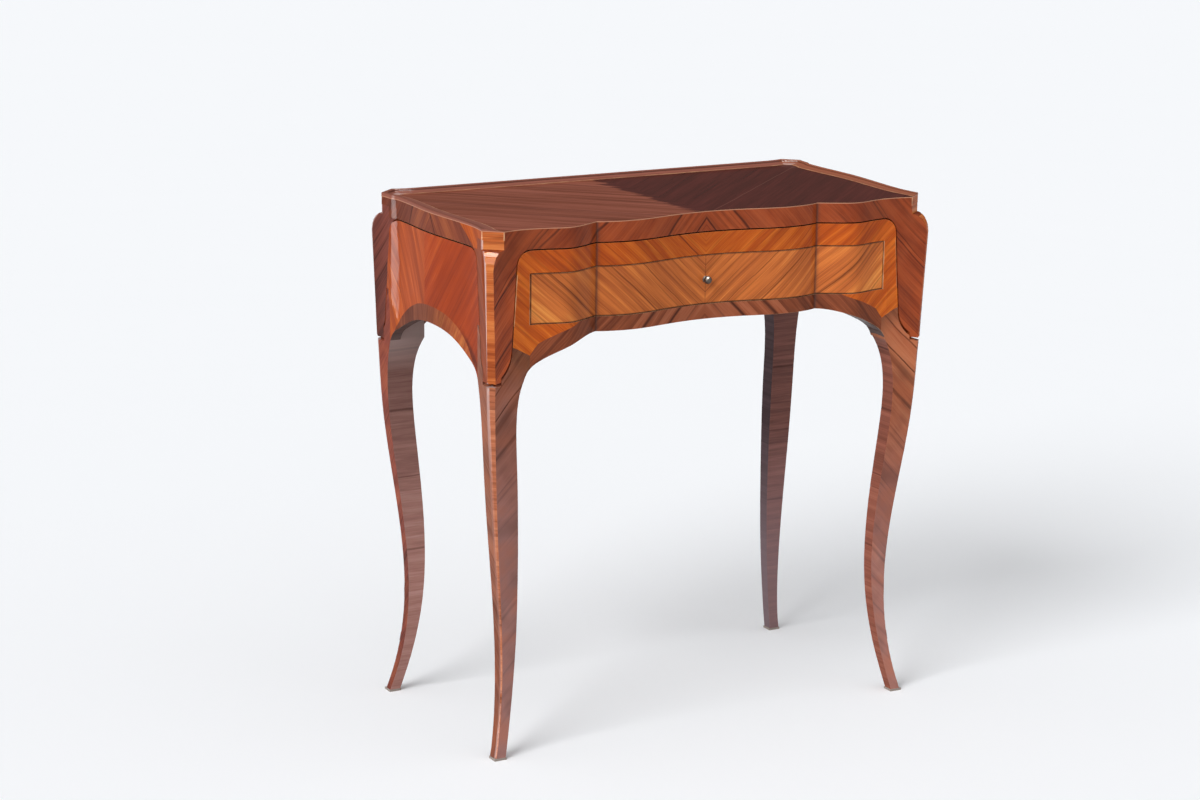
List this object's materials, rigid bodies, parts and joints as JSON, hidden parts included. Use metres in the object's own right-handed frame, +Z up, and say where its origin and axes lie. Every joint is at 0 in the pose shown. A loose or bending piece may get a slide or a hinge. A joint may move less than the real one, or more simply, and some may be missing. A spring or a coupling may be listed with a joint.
{
  "type": "bed table",
  "caption": "Veneered bed table with cabriole legs, a serpentine front with a drawer, and an upper part that lifts off as a bed tray with hanging corner posts.",
  "frame": {"origin": "on the floor, under the middle of the table", "axes": "+X to the table's right as seen from the front, +Y to the back, +Z up"},
  "size_m": [0.695, 0.3576, 0.7235],
  "materials": {
    "leg_veneer": "french polished diagonal veneer",
    "case_veneer": "french polished veneer, grain in mirrored diagonals",
    "side_veneer": "french polished book-matched veneer",
    "drawer_veneer": "french polished veneer, grain in mirrored diagonals",
    "tray_veneer": "french polished diagonal cross-banding",
    "post_veneer": "french polished diagonal veneer",
    "top_veneer": "french polished book-matched veneer",
    "rim_wood": "french polished moulding",
    "ground_wood": "planed softwood, unfinished",
    "drawer_wood": "planed, waxed",
    "foot_pad": "plain",
    "knob_metal": "polished, a little worn"
  },
  "bodies": {
    "stand": {"front_right_leg": "leg_veneer", "front_right_foot_pad": "foot_pad", "front_left_leg": "leg_veneer", "front_left_foot_pad": "foot_pad", "back_right_leg": "leg_veneer", "back_right_foot_pad": "foot_pad", "back_left_leg": "leg_veneer", "back_left_foot_pad": "foot_pad", "front_upper_rail": "case_veneer", "front_right_stile": "case_veneer", "front_left_stile": "case_veneer", "front_apron": "case_veneer", "back_panel": "case_veneer", "right_side_panel": "side_veneer", "left_side_panel": "side_veneer", "deck_board": "ground_wood", "right_drawer_runner": "ground_wood", "right_drawer_guide": "ground_wood", "right_drawer_kicker": "ground_wood", "right_drawer_stop": "ground_wood", "left_drawer_runner": "ground_wood", "left_drawer_guide": "ground_wood", "left_drawer_kicker": "ground_wood", "left_drawer_stop": "ground_wood"},
    "drawer": {"drawer_front": "drawer_veneer", "drawer_right_side": "drawer_wood", "drawer_left_side": "drawer_wood", "drawer_back": "drawer_wood", "drawer_bottom": "drawer_wood", "drawer_knob": "knob_metal", "knob_nut": "knob_metal"},
    "bed_tray": {"tray_front_right_post": "post_veneer", "tray_front_left_post": "post_veneer", "tray_back_right_post": "post_veneer", "tray_back_left_post": "post_veneer", "tray_front_rail": "tray_veneer", "tray_back_rail": "tray_veneer", "tray_right_rail": "tray_veneer", "tray_left_rail": "tray_veneer", "tray_board": "tray_veneer", "top_right_veneer": "top_veneer", "top_left_veneer": "top_veneer", "right_batten": "ground_wood", "left_batten": "ground_wood", "back_rim": "rim_wood", "right_rim": "rim_wood", "left_rim": "rim_wood", "right_rim_corner": "rim_wood", "left_rim_corner": "rim_wood"}
  },
  "joints": [
    {"name": "tray_lift", "type": "slide", "parent": "stand", "child": "bed_tray", "axis": [0, 0, 1], "range_m": [0, 0.25]},
    {"name": "drawer_slide", "type": "slide", "parent": "stand", "child": "drawer", "axis": [0, -1, 0], "range_m": [0, 0.19]}
  ]
}
